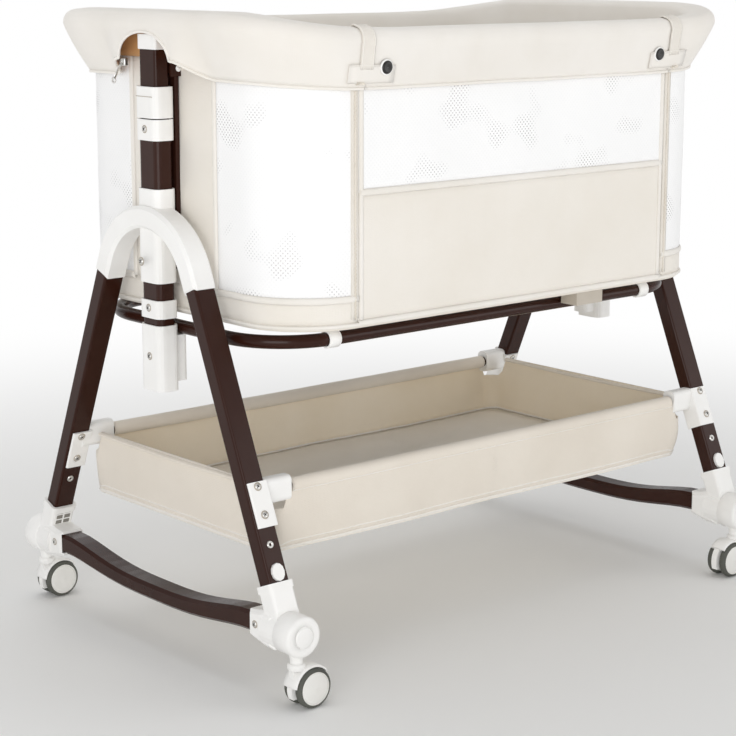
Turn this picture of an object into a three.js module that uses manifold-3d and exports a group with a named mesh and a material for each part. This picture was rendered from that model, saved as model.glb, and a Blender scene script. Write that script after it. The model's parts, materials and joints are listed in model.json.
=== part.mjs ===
// A bedside bassinet on an A-frame stand: two arched ends with telescoping posts, rockers and flip-up
// casters, a hanging storage basket, and a fabric crib whose front side drops. Millimetres, +Z up,
// origin on the floor under the middle. X runs from post to post and the drop side faces -Y.
import * as THREE from "three";
import { mergeVertices } from "three/addons/utils/BufferGeometryUtils.js";
import Module from "manifold-3d";

const wasm = await Module();
wasm.setup();

// ---- Driving dimensions ----------------------------------------------------------------------
const GAP = 0.3; // between solids that touch
const WALL = 1.5; // steel tube wall

const LEG_PLANE = 410; // X of the leg, arch and rocker planes
const LEG = { width: 30, depth: 22, corner: 3, tilt: THREE.MathUtils.degToRad(22.7) };
const LEG_FOOT = { y: -240, z: 147 }; // leg axis where it enters the foot joint
const LEG_LENGTH = 365; // from the foot joint's lip to the arch's lower end
const LEG_INSERT = 24; // hidden in each socket

const POST_X = 403;
const POST = { width: 26, depth: 40, corner: 7 }; // outer tube, X by Y
const INNER_POST = { width: 21, depth: 35, corner: 3.5 };
const CLAMP = { width: 32, depth: 46, corner: 10 }; // plastic rings round the post
const POST_BOTTOM = 352;
const POST_TOP = 688;
const CAP = { bottom: 345.5, top: 430 };
const RING = { bottom: 439, top: 462 };
const COLLAR = { bottom: 662, top: 688 };
const HANDLE = { bottom: 689.5, top: 728 };
const INNER_POST_SPAN = { bottom: 440, top: 773 };
const POST_TOP_CAP = { width: 22.4, depth: 39, corner: 3, top: 791.5 };
const ARCH = { radius: 110, centre: 471, thickness: 28, width: 34, sleeveBottom: 484, sleeveTop: 602 };

const ROCKER = { width: 32, height: 26, waist: 21, corner: 4, low: 78, high: 95, collarY: 211 };
const AXLE_Z = 93; // the drum's pivot
const DRUM = { radius: 25.5, front: -297, back: -266.5, neckRadius: 8, neckBottom: 58 };
const CASTER_Y = -281;
const WHEEL = { radius: 25, trail: 17, halfWidth: 16, inner: 5.5, axle: 3.5 };
const FORK = { radius: 28, thickness: 9, top: 57.7, stemRadius: 10 };

const CRIB = { halfX: 377, halfY: 238, corner: 95, bottom: 442, top: 733, wall: 6 };
const DROP = { halfX: 276, bottom: 450 };
const RIM = { bottom: 733, top: 806, sideFlare: 16, endFlare: 44, tubeZ: 786, tubeRadius: 6, tubeOffset: 1.5 };
const RIM_NOTCH = { halfY: 42, top: 792.5 };
const MATTRESS = { bottom: 471, top: 511 };

const LOOP = { halfX: 375, halfY: 195, corner: 90, z: 424, radius: 9 };
const BASKET = { halfX: 390, halfY: 207, bottom: 168, top: 258, wall: 3, corner: 30 };
const BASKET_TUBE = { y: 194, z: 249, radius: 7.5, halfX: 366 };
const BRACKET = { low: 67, high: 123, wall: 3, armEnd: 355, armHeight: 32, armDepth: 21 };

// ---- Finishes --------------------------------------------------------------------------------
const FINISHES = {
  tube: { color: 0x2e1e1a, roughness: 0.35, metalness: 0.3 },
  plastic: { color: 0xf1f0ee, roughness: 0.45, metalness: 0 },
  tyre: { color: 0x55564f, roughness: 0.75, metalness: 0 },
  cream: { color: 0xefe8dc, roughness: 0.9, metalness: 0 },
  basket: { color: 0xe3d8c8, roughness: 0.9, metalness: 0 },
  board: { color: 0xcfc6bb, roughness: 0.85, metalness: 0 },
  grey: { color: 0xb9b3a8, roughness: 0.55, metalness: 0 },
};

// ---- Solids and booleans ---------------------------------------------------------------------
function solidOf(geometry) {
  const bare = geometry.index ? geometry.toNonIndexed() : geometry.clone();
  bare.deleteAttribute("normal");
  bare.deleteAttribute("uv");
  const merged = mergeVertices(bare, 1e-3);
  return new wasm.Manifold(
    new wasm.Mesh({
      numProp: 3,
      vertProperties: merged.attributes.position.array,
      triVerts: new Uint32Array(merged.index.array),
    }),
  );
}

function geometryOf(solid) {
  const { vertProperties, triVerts } = solid.getMesh();
  const geometry = new THREE.BufferGeometry();
  geometry.setAttribute("position", new THREE.BufferAttribute(vertProperties, 3));
  geometry.setIndex(new THREE.BufferAttribute(triVerts, 1));
  geometry.computeVertexNormals();
  return geometry;
}

function join(...geometries) {
  return geometryOf(geometries.map(solidOf).reduce((a, b) => a.add(b)));
}

function cut(base, ...tools) {
  return geometryOf(tools.map(solidOf).reduce((a, b) => a.subtract(b), solidOf(base)));
}

// ---- Shapes ----------------------------------------------------------------------------------
function addRoundedRect(path, width, height, radius) {
  const x = width / 2;
  const y = height / 2;
  path.moveTo(-x + radius, -y);
  path.lineTo(x - radius, -y);
  path.absarc(x - radius, -y + radius, radius, -Math.PI / 2, 0);
  path.lineTo(x, y - radius);
  path.absarc(x - radius, y - radius, radius, 0, Math.PI / 2);
  path.lineTo(-x + radius, y);
  path.absarc(-x + radius, y - radius, radius, Math.PI / 2, Math.PI);
  path.lineTo(-x, -y + radius);
  path.absarc(-x + radius, -y + radius, radius, Math.PI, Math.PI * 1.5);
  path.closePath();
  return path;
}

function roundedRect(width, height, radius, wall = 0) {
  const shape = addRoundedRect(new THREE.Shape(), width, height, radius);
  if (wall) {
    const inner = Math.max(radius - wall, 0.5);
    shape.holes.push(addRoundedRect(new THREE.Path(), width - 2 * wall, height - 2 * wall, inner));
  }
  return shape;
}

// An upright prism of a section, from one height to another.
function prism(shape, bottom, top, curveSegments = 4) {
  const geometry = new THREE.ExtrudeGeometry(shape, {
    depth: top - bottom,
    bevelEnabled: false,
    curveSegments,
  });
  return geometry.translate(0, 0, bottom);
}

function block(x0, x1, y0, y1, z0, z1) {
  return new THREE.BoxGeometry(x1 - x0, y1 - y0, z1 - z0).translate(
    (x0 + x1) / 2,
    (y0 + y1) / 2,
    (z0 + z1) / 2,
  );
}

// A round bar along Y.
function barAlongY(radius, y0, y1, x, z, segments = 32) {
  return new THREE.CylinderGeometry(radius, radius, y1 - y0, segments).translate(x, (y0 + y1) / 2, z);
}

function barAlongX(radius, x0, x1, y, z, segments = 24) {
  return new THREE.CylinderGeometry(radius, radius, x1 - x0, segments)
    .rotateZ(Math.PI / 2)
    .translate((x0 + x1) / 2, y, z);
}

function barAlongZ(radius, z0, z1, x, y, segments = 28) {
  return new THREE.CylinderGeometry(radius, radius, z1 - z0, segments)
    .rotateX(Math.PI / 2)
    .translate(x, y, (z0 + z1) / 2);
}

// A profile in the YZ plane, extruded along X about the leg plane with softened edges.
function sidePlate(shape, width, bevel, curveSegments) {
  return new THREE.ExtrudeGeometry(shape, {
    depth: width - 2 * bevel,
    bevelEnabled: true,
    bevelThickness: bevel,
    bevelSize: bevel,
    bevelOffset: -bevel,
    bevelSegments: 1,
    curveSegments,
  })
    .rotateX(Math.PI / 2)
    .rotateZ(Math.PI / 2)
    .translate(-LEG_PLANE - width / 2 + bevel, 0, 0);
}

// Stations round a rounded rectangle, with outward normals, from front right all the way round.
function outlineStations(halfX, halfY, corner, steps = 7) {
  const centres = [
    [halfX - corner, -halfY + corner, -90],
    [halfX - corner, halfY - corner, 0],
    [-halfX + corner, halfY - corner, 90],
    [-halfX + corner, -halfY + corner, 180],
  ];
  return centres.flatMap(([cx, cy, start]) =>
    Array.from({ length: steps + 1 }, (_, i) => {
      const angle = THREE.MathUtils.degToRad(start + (90 * i) / steps);
      const nx = Math.cos(angle);
      const ny = Math.sin(angle);
      return { x: cx + corner * nx, y: cy + corner * ny, nx, ny };
    }),
  );
}

// Sweeps a closed section of [outward offset, z] points along stations; an open sweep gets end caps.
// A section that changes on the way is given as a function of the station.
function sweepRing(stations, section, closed) {
  const sectionAt = (station) => (typeof section === "function" ? section(station) : section);
  const count = sectionAt(stations[0]).length;
  const positions = stations.flatMap((s) =>
    sectionAt(s).flatMap(([out, z]) => [s.x + s.nx * out, s.y + s.ny * out, z]),
  );
  const index = [];
  const spans = closed ? stations.length : stations.length - 1;
  for (let i = 0; i < spans; i++) {
    const a = i * count;
    const b = ((i + 1) % stations.length) * count;
    for (let j = 0; j < count; j++) {
      const k = (j + 1) % count;
      index.push(a + j, b + j, b + k, a + j, b + k, a + k);
    }
  }
  if (!closed) {
    const outline = sectionAt(stations[0]).map(([out, z]) => new THREE.Vector2(out, z));
    const last = (stations.length - 1) * count;
    for (const [a, b, c] of THREE.ShapeUtils.triangulateShape(outline, [])) {
      index.push(a, b, c, last + a, last + c, last + b);
    }
  }
  const geometry = new THREE.BufferGeometry();
  geometry.setAttribute("position", new THREE.Float32BufferAttribute(positions, 3));
  geometry.setIndex(index);
  return geometry;
}

const circleSection = (radius, centreOut, centreZ, segments = 8) =>
  Array.from({ length: segments }, (_, i) => {
    const angle = (i / segments) * Math.PI * 2;
    return [centreOut + radius * Math.cos(angle), centreZ + radius * Math.sin(angle)];
  });

// ---- Placing ---------------------------------------------------------------------------------
const bassinet = new THREE.Group();

function add(name, geometry, finish, mirrorX = 1, mirrorY = 1) {
  const mesh = new THREE.Mesh(geometry, new THREE.MeshStandardMaterial(FINISHES[finish]));
  mesh.name = name;
  mesh.scale.set(mirrorX, mirrorY, 1);
  bassinet.add(mesh);
}

// Carries leg coordinates (x across, y towards the middle, z up the leg from the lip) to the frame.
const legFrame = new THREE.Matrix4()
  .makeRotationX(-LEG.tilt)
  .setPosition(-LEG_PLANE, LEG_FOOT.y, LEG_FOOT.z);
const onLeg = (geometry) => geometry.applyMatrix4(legFrame);

// ---- The ends: drawn for the left end and, where there are two, the front leg ------------------
function leg() {
  const tube = prism(
    roundedRect(LEG.width, LEG.depth, LEG.corner, WALL),
    -LEG_INSERT,
    LEG_LENGTH + LEG_INSERT,
    2,
  );
  return onLeg(cut(tube, buttonOval(0.4, -LEG.depth, 0)));
}

const BUTTON = { halfX: 9, halfZ: 11, centre: 11.8, proud: 3, inside: 5 };

// The snap button's oval, grown by a clearance, between two depths across the leg.
function buttonOval(clearance, y0, y1) {
  const oval = new THREE.Shape();
  oval.absellipse(0, 0, BUTTON.halfX + clearance, BUTTON.halfZ + clearance, 0, Math.PI * 2);
  return prism(oval, -y1, -y0, 6)
    .rotateX(Math.PI / 2)
    .translate(0, 0, BUTTON.centre);
}

function legButton() {
  const face = -LEG.depth / 2;
  const oval = new THREE.Shape();
  oval.absellipse(0, 0, BUTTON.halfX, BUTTON.halfZ, 0, Math.PI * 2);
  const depth = BUTTON.proud + BUTTON.inside - 1;
  return onLeg(
    new THREE.ExtrudeGeometry(oval, {
      depth,
      bevelThickness: 1,
      bevelSize: 1,
      bevelOffset: -1,
      bevelSegments: 2,
      curveSegments: 6,
    })
      .rotateX(Math.PI / 2)
      .translate(0, face + BUTTON.inside - 1, BUTTON.centre),
  );
}

function legSocketCutter(from, to) {
  const size = 2 * GAP;
  return onLeg(prism(roundedRect(LEG.width + size, LEG.depth + size, LEG.corner + GAP), from, to, 2));
}

function arch() {
  const { radius, centre, thickness, width } = ARCH;
  const inner = radius - thickness;
  const { tilt } = LEG;
  // The straight legs leave the arcs where the arc's tangent has the leg's tilt.
  const tangentY = Math.cos(tilt);
  const tangentZ = Math.sin(tilt);
  const along = (r, length) => [
    r * tangentY + length * Math.sin(tilt),
    centre + r * tangentZ - length * Math.cos(tilt),
  ];
  const legEnd = (centre + (radius - thickness / 2) * tangentZ - archLegEndZ()) / Math.cos(tilt);
  const shape = new THREE.Shape();
  shape.moveTo(...along(radius, legEnd));
  shape.lineTo(...along(radius, 0));
  shape.absarc(0, centre, radius, tilt, Math.PI - tilt);
  const [endY, endZ] = along(radius, legEnd);
  shape.lineTo(-endY, endZ);
  const [innerY, innerZ] = along(inner, legEnd);
  shape.lineTo(-innerY, innerZ);
  const [topY, topZ] = along(inner, 0);
  shape.lineTo(-topY, topZ);
  shape.absarc(0, centre, inner, Math.PI - tilt, tilt, true);
  shape.lineTo(innerY, innerZ);
  const band = sidePlate(shape, width, 4, 14);
  const sleeve = postPrism(CLAMP, ARCH.sleeveBottom, ARCH.sleeveTop);
  const back = legSocketCutter(LEG_LENGTH - 5, LEG_LENGTH + LEG_INSERT + 1);
  const front = back.clone().scale(1, -1, 1);
  flipFaces(front);
  return cut(join(band, sleeve), postBore(), back, front);
}

const archLegEndZ = () => LEG_FOOT.z + LEG_LENGTH * Math.cos(LEG.tilt);

// Turns a mirrored geometry's faces outward again.
function flipFaces(geometry) {
  if (!geometry.index) geometry.setIndex([...Array(geometry.attributes.position.count).keys()]);
  const { array } = geometry.index;
  for (let i = 0; i < array.length; i += 3) {
    [array[i + 1], array[i + 2]] = [array[i + 2], array[i + 1]];
  }
}

function postPrism({ width, depth, corner }, bottom, top, wall = 0) {
  return prism(roundedRect(width, depth, corner, wall), bottom, top, 2).translate(-POST_X, 0, 0);
}

const grown = ({ width, depth, corner }, by) => ({
  width: width + 2 * by,
  depth: depth + 2 * by,
  corner: corner + by,
});

// The hole that a plastic ring leaves for the outer post.
const postBore = (bottom = 300, top = 900) => postPrism(grown(POST, GAP), bottom, top);

const outerPost = () => postPrism(POST, POST_BOTTOM, POST_TOP, 2);
const innerPost = () => postPrism(INNER_POST, INNER_POST_SPAN.bottom, INNER_POST_SPAN.top, WALL);
const sleeveCollar = () => cut(postPrism(CLAMP, COLLAR.bottom, COLLAR.top), postBore());
const ringClamp = () => cut(postPrism(CLAMP, RING.bottom, RING.top), postBore());

function postTop() {
  const { width, depth, corner, top } = POST_TOP_CAP;
  const outward = (CLAMP.width - width) / 2 - 4.6;
  const cap = prism(roundedRect(width, depth, corner), INNER_POST_SPAN.top + GAP, top, 3);
  return cap.translate(-POST_X - outward, 0, 0);
}

function releaseHandle() {
  const { bottom, top } = HANDLE;
  const body = postPrism(CLAMP, bottom, top);
  const bore = postPrism(grown(INNER_POST, 0.6), bottom - 1, top + 1);
  // A sloped shoulder on the crib's side lets a thumb lift the handle.
  const shoulder = new THREE.BoxGeometry(30, CLAMP.depth + 2, 20)
    .rotateY(THREE.MathUtils.degToRad(62))
    .translate(-POST_X + CLAMP.width / 2 + 7, 0, top + 4);
  return cut(body, bore, shoulder);
}

function postEndCap() {
  const shell = postPrism(CLAMP, CAP.bottom, CAP.top);
  const lobeInner = LOOP.halfX - LOOP.radius + 2;
  const lobe = prism(roundedRect(POST_X - lobeInner, 26, 8), 355, LOOP.z - LOOP.radius - GAP, 4).translate(
    -(POST_X + lobeInner) / 2,
    0,
    0,
  );
  return cut(join(shell, lobe), postBore(POST_BOTTOM - 1, 900));
}

// 0 at the middle of the rocker and 1 at its collars, level at both.
function rockerRise(y) {
  const u = Math.min(Math.abs(y) / (ROCKER.collarY - 4), 1) ** 1.6;
  return u * u * (3 - 2 * u);
}

// A long shallow bow that levels out and thickens towards both collars.
function rocker() {
  const { width, height, waist, corner, low, high, collarY } = ROCKER;
  const end = collarY + 18;
  const steps = 22;
  const line = Array.from({ length: steps + 1 }, (_, i) => {
    const y = -end + (2 * end * i) / steps;
    const rise = rockerRise(y);
    return { y, middle: low + (high - low) * rise, half: (waist + (height - waist) * rise) / 2 };
  });
  const outline = [
    ...line.map(({ y, middle, half }) => new THREE.Vector2(y, middle - half)),
    ...line.reverse().map(({ y, middle, half }) => new THREE.Vector2(y, middle + half)),
  ];
  return sidePlate(new THREE.Shape(outline), width, corner, 1);
}

// Leg socket with a lip, the boss that carries the drum, and the collar that takes the rocker.
function footJoint() {
  const socket = onLeg(prism(roundedRect(LEG.width + 5, LEG.depth + 6, 5), -46, -1, 3));
  const lip = onLeg(prism(roundedRect(LEG.width + 8, LEG.depth + 9, 6), -9, 0, 3));
  const boss = barAlongY(DRUM.radius - 1, DRUM.back + GAP, -238, -LEG_PLANE, AXLE_Z, 24);
  const { collarY, high, height } = ROCKER;
  const collarHalf = height / 2 + 3.5;
  const side = new THREE.Shape();
  side.moveTo(-collarY, high - collarHalf);
  side.lineTo(-collarY, high + collarHalf);
  side.lineTo(-collarY - 16, high + collarHalf + 2);
  side.lineTo(LEG_FOOT.y, AXLE_Z + DRUM.radius - 2);
  side.lineTo(DRUM.back + 8, AXLE_Z + DRUM.radius - 4);
  side.lineTo(DRUM.back + 8, AXLE_Z - DRUM.radius + 3);
  side.lineTo(LEG_FOOT.y, AXLE_Z - DRUM.radius + 4);
  const body = sidePlate(side, ROCKER.width + 7, 5, 4);
  const holeX = ROCKER.width / 2 + GAP;
  const holeZ = height / 2 + GAP;
  const rockerHole = block(
    -LEG_PLANE - holeX,
    -LEG_PLANE + holeX,
    -collarY - 19,
    -collarY + 20,
    high - holeZ,
    high + holeZ,
  );
  const shaftHole = barAlongY(5.3, DRUM.back - 1, -244, -LEG_PLANE, AXLE_Z, 20);
  const legHole = legSocketCutter(-LEG_INSERT - 1, 5);
  const clearOfDrum = block(-460, -360, -320, DRUM.back + GAP, 60, 200);
  return cut(join(boss, body, socket, lip), legHole, rockerHole, shaftHole, clearOfDrum);
}

// ---- Casters: drum, fork and twin wheel of the left front corner -------------------------------
function drum() {
  const { radius, front, back, neckRadius, neckBottom } = DRUM;
  const width = back - front;
  const edge = 3;
  const cap = 12.5;
  const profile = [
    [0, 0],
    [radius - 0.5, 0],
    [radius, 0.5],
    [radius, width - edge],
    [radius - edge, width],
    [cap + 1.2, width + 0.6],
    [cap + 1.2, width - 0.6],
    [cap, width - 0.6],
    [cap, width + 0.8],
    [cap - 1, width + 1.4],
    [0, width + 1.8],
  ];
  const lathe = new THREE.LatheGeometry(profile.map(([r, y]) => new THREE.Vector2(r, y)), 20)
    .rotateX(Math.PI)
    .translate(-LEG_PLANE, back, AXLE_Z);
  const shaft = barAlongY(5, back - 5, back + 18, -LEG_PLANE, AXLE_Z, 20);
  const neck = barAlongZ(neckRadius, neckBottom, AXLE_Z, -LEG_PLANE, CASTER_Y, 16);
  return join(lathe, shaft, neck);
}

function fork() {
  const { radius, thickness, top, stemRadius } = FORK;
  const { radius: tyre, trail, axle } = WHEEL;
  const web = new THREE.Shape();
  const low = THREE.MathUtils.degToRad(-25);
  web.absarc(0, 0, radius, low, Math.PI - low);
  web.closePath();
  const plate = new THREE.ExtrudeGeometry(web, {
    depth: thickness,
    bevelEnabled: false,
    curveSegments: 14,
  })
    .rotateX(Math.PI / 2)
    .translate(-LEG_PLANE + trail, CASTER_Y + thickness / 2, tyre);
  const stem = barAlongZ(stemRadius, tyre + tyre + 0.8, top, -LEG_PLANE, CASTER_Y, 24);
  const shank = block(
    -LEG_PLANE - stemRadius * 0.8,
    -LEG_PLANE + stemRadius,
    CASTER_Y - thickness / 2,
    CASTER_Y + thickness / 2,
    tyre + 10,
    tyre + tyre + 2,
  );
  const axleHole = barAlongY(axle + 0.5, CASTER_Y - 10, CASTER_Y + 10, -LEG_PLANE + trail, tyre, 20);
  return cut(join(plate, shank, stem), axleHole);
}

function twinWheel() {
  const { radius, trail, halfWidth, inner, axle } = WHEEL;
  const profile = [
    [0, halfWidth - 0.5],
    [19, halfWidth - 0.5],
    [21.5, halfWidth],
    [24.3, halfWidth - 1.6],
    [radius, halfWidth - 4],
    [radius, inner + 2],
    [radius - 1.5, inner],
    [axle, inner],
  ];
  const mirrored = profile.map(([r, y]) => [r, -y]).reverse();
  const points = [...profile, ...mirrored].reverse().map(([r, y]) => new THREE.Vector2(r, y));
  return new THREE.LatheGeometry(points, 18).translate(-LEG_PLANE + trail, CASTER_Y, radius);
}

// A C-shaped clamp round the leg's inner side, with the arm that carries the basket tube.
function bracket() {
  const { low, high, wall, armEnd, armHeight, armDepth } = BRACKET;
  const outer = roundedRect(LEG.width / 2 + 12 + wall, LEG.depth + 2 * wall, 2.5);
  const sideOffset = (LEG.width / 2 + wall - 12) / 2;
  const shell = onLeg(prism(outer, low, high, 3).translate(sideOffset, 0, 0));
  const arm = new THREE.ExtrudeGeometry(roundedRect(armHeight, armDepth, 7), {
    depth: LEG_PLANE - armEnd - 5,
    bevelEnabled: false,
    curveSegments: 4,
  })
    .rotateY(Math.PI / 2)
    .translate(-LEG_PLANE + 5, -BASKET_TUBE.y - 1, BASKET_TUBE.z);
  const tubeHole = barAlongX(
    BASKET_TUBE.radius + GAP,
    -BASKET_TUBE.halfX - 1,
    -armEnd + 1,
    -BASKET_TUBE.y,
    BASKET_TUBE.z,
  );
  return cut(join(shell, arm), legSocketCutter(low - 40, high + 40), tubeHole);
}

const SIDES = [
  ["left", 1],
  ["right", -1],
];
const ENDS = [
  ["front", 1],
  ["back", -1],
];

for (const [side, mirrorX] of SIDES) {
  add(`arch_${side}`, arch(), "plastic", mirrorX);
  add(`outer_post_${side}`, outerPost(), "tube", mirrorX);
  add(`inner_post_${side}`, innerPost(), "tube", mirrorX);
  add(`sleeve_collar_${side}`, sleeveCollar(), "plastic", mirrorX);
  add(`post_top_${side}`, postTop(), "plastic", mirrorX);
  add(`release_handle_${side}`, releaseHandle(), "plastic", mirrorX);
  add(`ring_clamp_${side}`, ringClamp(), "plastic", mirrorX);
  add(`post_end_cap_${side}`, postEndCap(), "plastic", mirrorX);
  add(`rocker_${side}`, rocker(), "tube", mirrorX);
  for (const [end, mirrorY] of ENDS) {
    const place = `${end}_${side}`;
    add(`leg_${place}`, leg(), "tube", mirrorX, mirrorY);
    add(`leg_button_${place}`, legButton(), "plastic", mirrorX, mirrorY);
    add(`foot_joint_${place}`, footJoint(), "plastic", mirrorX, mirrorY);
    add(`caster_drum_${place}`, drum(), "plastic", mirrorX, mirrorY);
    add(`caster_fork_${place}`, fork(), "plastic", mirrorX, mirrorY);
    add(`twin_wheel_${place}`, twinWheel(), "tyre", mirrorX, mirrorY);
    add(`basket_bracket_${place}`, bracket(), "plastic", mirrorX, mirrorY);
  }
}

// ---- Stretcher loop and basket -----------------------------------------------------------------
function loopFrame() {
  const { halfX, halfY, corner, z, radius } = LOOP;
  return sweepRing(outlineStations(halfX, halfY, corner, 8), circleSection(radius, 0, z), true);
}

function basketShell() {
  const { halfX, halfY, bottom, top, wall, corner } = BASKET;
  const outer = prism(roundedRect(2 * halfX, 2 * halfY, corner), bottom, top, 6);
  const inner = prism(
    roundedRect(2 * (halfX - wall), 2 * (halfY - wall), corner - wall),
    bottom + wall,
    top + 1,
    6,
  );
  // Cut-outs at the corners let the bracket arms through.
  const low = BASKET_TUBE.z - BRACKET.armHeight / 2 - 3;
  const notches = [-1, 1].flatMap((x) =>
    [-1, 1].map((y) => {
      const x0 = x < 0 ? -halfX - 5 : BRACKET.armEnd - 4;
      const y0 = y < 0 ? -halfY - 5 : BASKET_TUBE.y - 14;
      return block(x0, x0 + halfX + 9 - BRACKET.armEnd, y0, y0 + halfY + 19 - BASKET_TUBE.y, low, top + 5);
    }),
  );
  return cut(outer, inner, ...notches);
}

function basketFloor() {
  const { halfX, halfY, bottom, wall, corner } = BASKET;
  const inset = wall + 6;
  const base = bottom + wall + GAP;
  return prism(roundedRect(2 * (halfX - inset), 2 * (halfY - inset), corner - inset), base, base + 4, 4);
}

const basketTube = () =>
  barAlongX(BASKET_TUBE.radius, -BASKET_TUBE.halfX, BASKET_TUBE.halfX, -BASKET_TUBE.y, BASKET_TUBE.z);

add("loop_frame", loopFrame(), "tube");
add("basket_shell", basketShell(), "basket");
add("basket_floor", basketFloor(), "board");
add("basket_tube_front", basketTube(), "tube");
add("basket_tube_back", basketTube(), "tube", 1, -1);

// ---- Crib --------------------------------------------------------------------------------------
function cribPrism(inset, bottom, top) {
  const { halfX, halfY, corner } = CRIB;
  return prism(roundedRect(2 * (halfX - inset), 2 * (halfY - inset), corner - inset), bottom, top, 8);
}

function cribShell() {
  const { halfY, bottom, top, wall } = CRIB;
  const opening = block(-DROP.halfX, DROP.halfX, -halfY - 10, -halfY + wall + 3, DROP.bottom, top + 1);
  return cut(cribPrism(0, bottom, top), cribPrism(wall, bottom + wall, top + 1), opening);
}

const dropPanel = () =>
  block(
    -DROP.halfX + 1,
    DROP.halfX - 1,
    -CRIB.halfY,
    -CRIB.halfY + CRIB.wall,
    DROP.bottom + 1,
    RIM.bottom + 28,
  );

// Section of the padded rim cover: flared outside, flat top, short inner skirt. The cover hangs nearly
// straight along the sides and flares wide round the ends.
function rimSection({ nx }) {
  const turn = Math.min(Math.abs(nx) / 0.7, 1);
  const flare = RIM.sideFlare + (RIM.endFlare - RIM.sideFlare) * turn * turn * (3 - 2 * turn);
  return [
    [2, RIM.bottom + 1],
    [6, RIM.bottom + 1],
    [flare, RIM.top - 7],
    [flare - 4, RIM.top],
    [-9, RIM.top],
    [-9, RIM.bottom + 30],
    [-5, RIM.bottom + 30],
    [-5, RIM.top - 5],
    [flare - 6, RIM.top - 5],
  ];
}

const rimStations = (offset = 0) =>
  outlineStations(CRIB.halfX + offset, CRIB.halfY + offset, CRIB.corner + offset);

// Runs the stations from one end of the drop side right round to the other.
function fixedStations(halfX, offset = 0) {
  const y = -CRIB.halfY - offset;
  const first = { x: halfX, y, nx: 0, ny: -1 };
  const last = { x: -halfX, y, nx: 0, ny: -1 };
  return [first, ...rimStations(offset), last];
}

function dropStations(halfX, offset = 0) {
  const y = -CRIB.halfY - offset;
  return [
    { x: -halfX, y, nx: 0, ny: -1 },
    { x: halfX, y, nx: 0, ny: -1 },
  ];
}

function rimCoverFixed() {
  const { halfX } = CRIB;
  const notch = (x) => block(x - 48, x + 48, -RIM_NOTCH.halfY, RIM_NOTCH.halfY, 700, RIM_NOTCH.top);
  return cut(
    sweepRing(fixedStations(DROP.halfX - 3), rimSection, false),
    notch(-halfX - 48),
    notch(halfX + 48),
  );
}

const rimCoverDrop = () => sweepRing(dropStations(DROP.halfX - 4), rimSection, false);

// The top tube with the flat uprights that run down both ends and the plates that meet the posts.
function topFrame() {
  const { tubeZ, tubeRadius, tubeOffset } = RIM;
  const ring = sweepRing(
    fixedStations(DROP.halfX - 2, tubeOffset),
    circleSection(tubeRadius, 0, tubeZ),
    false,
  );
  const ends = [-1, 1].flatMap((side) => {
    const near = side * 379.5;
    const far = side * 385.5;
    const plate = side * (POST_X - INNER_POST.width / 2 - GAP);
    const [x0, x1] = [Math.min(near, far), Math.max(near, far)];
    const [p0, p1] = [Math.min(near, plate), Math.max(near, plate)];
    return [block(x0, x1, -18, 18, 500, tubeZ), block(p0, p1, -14, 14, 744, 772)];
  });
  return join(ring, ...ends);
}

const dropRail = () =>
  sweepRing(
    dropStations(DROP.halfX - 4, RIM.tubeOffset),
    circleSection(RIM.tubeRadius, 0, RIM.tubeZ),
    false,
  );

const strapAnchor = () => block(112, 162, -236, -207, 425, CRIB.bottom - GAP);

add("top_frame", topFrame(), "tube");
add("crib_shell", cribShell(), "cream");
add("floor_board", cribPrism(CRIB.wall + 5, 465, 470), "board");
add("mattress", cribPrism(CRIB.wall + 4, MATTRESS.bottom, MATTRESS.top), "cream");
add("rim_cover_fixed", rimCoverFixed(), "cream");
add("rim_cover_drop", rimCoverDrop(), "cream");
add("drop_rail", dropRail(), "tube");
add("drop_panel", dropPanel(), "cream");
add("strap_anchor", strapAnchor(), "grey");

export default bassinet;
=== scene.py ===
"""Looks for a bedside bassinet on a rocking stand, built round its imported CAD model."""
import json
import math

import bpy
from mathutils import Matrix, Vector, noise


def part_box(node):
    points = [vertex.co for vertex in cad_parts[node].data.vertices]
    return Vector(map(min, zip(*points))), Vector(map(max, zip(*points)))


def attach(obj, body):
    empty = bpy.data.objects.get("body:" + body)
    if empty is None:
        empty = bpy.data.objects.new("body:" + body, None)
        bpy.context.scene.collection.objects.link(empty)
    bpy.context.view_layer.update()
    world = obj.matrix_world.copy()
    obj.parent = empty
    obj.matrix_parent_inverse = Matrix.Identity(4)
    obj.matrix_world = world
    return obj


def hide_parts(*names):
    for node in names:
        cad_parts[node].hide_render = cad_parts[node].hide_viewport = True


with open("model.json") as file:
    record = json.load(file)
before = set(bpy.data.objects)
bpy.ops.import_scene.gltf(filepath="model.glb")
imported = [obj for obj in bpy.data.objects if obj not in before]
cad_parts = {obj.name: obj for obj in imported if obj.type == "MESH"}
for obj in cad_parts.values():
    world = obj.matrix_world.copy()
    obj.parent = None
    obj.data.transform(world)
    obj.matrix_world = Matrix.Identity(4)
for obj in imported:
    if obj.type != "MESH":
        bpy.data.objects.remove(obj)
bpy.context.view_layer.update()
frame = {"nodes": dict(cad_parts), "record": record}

MM = 0.001
SIDES = (("left", -1), ("right", 1))
ENDS = (("front", -1), ("back", 1))
CORNERS = [(f"{end}_{side}", sx, sy) for side, sx in SIDES for end, sy in ENDS]


def box_mm(node):
    low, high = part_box(node)
    return [v / MM for v in low], [v / MM for v in high]


# ---- Sizes, in millimetres, read from the frame wherever it holds them
crib_low, crib_high = box_mm("crib_shell")
rim_high = box_mm("rim_cover_fixed")[1]
basket_low, basket_high = box_mm("basket_shell")
loop_low, loop_high = box_mm("loop_frame")
post_low, post_high = box_mm("outer_post_left")
collar_low, collar_high = box_mm("sleeve_collar_left")
wheel_low, wheel_high = box_mm("twin_wheel_front_left")
tube_low, tube_high = box_mm("basket_tube_front")
mattress_low, mattress_high = box_mm("mattress")

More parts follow.
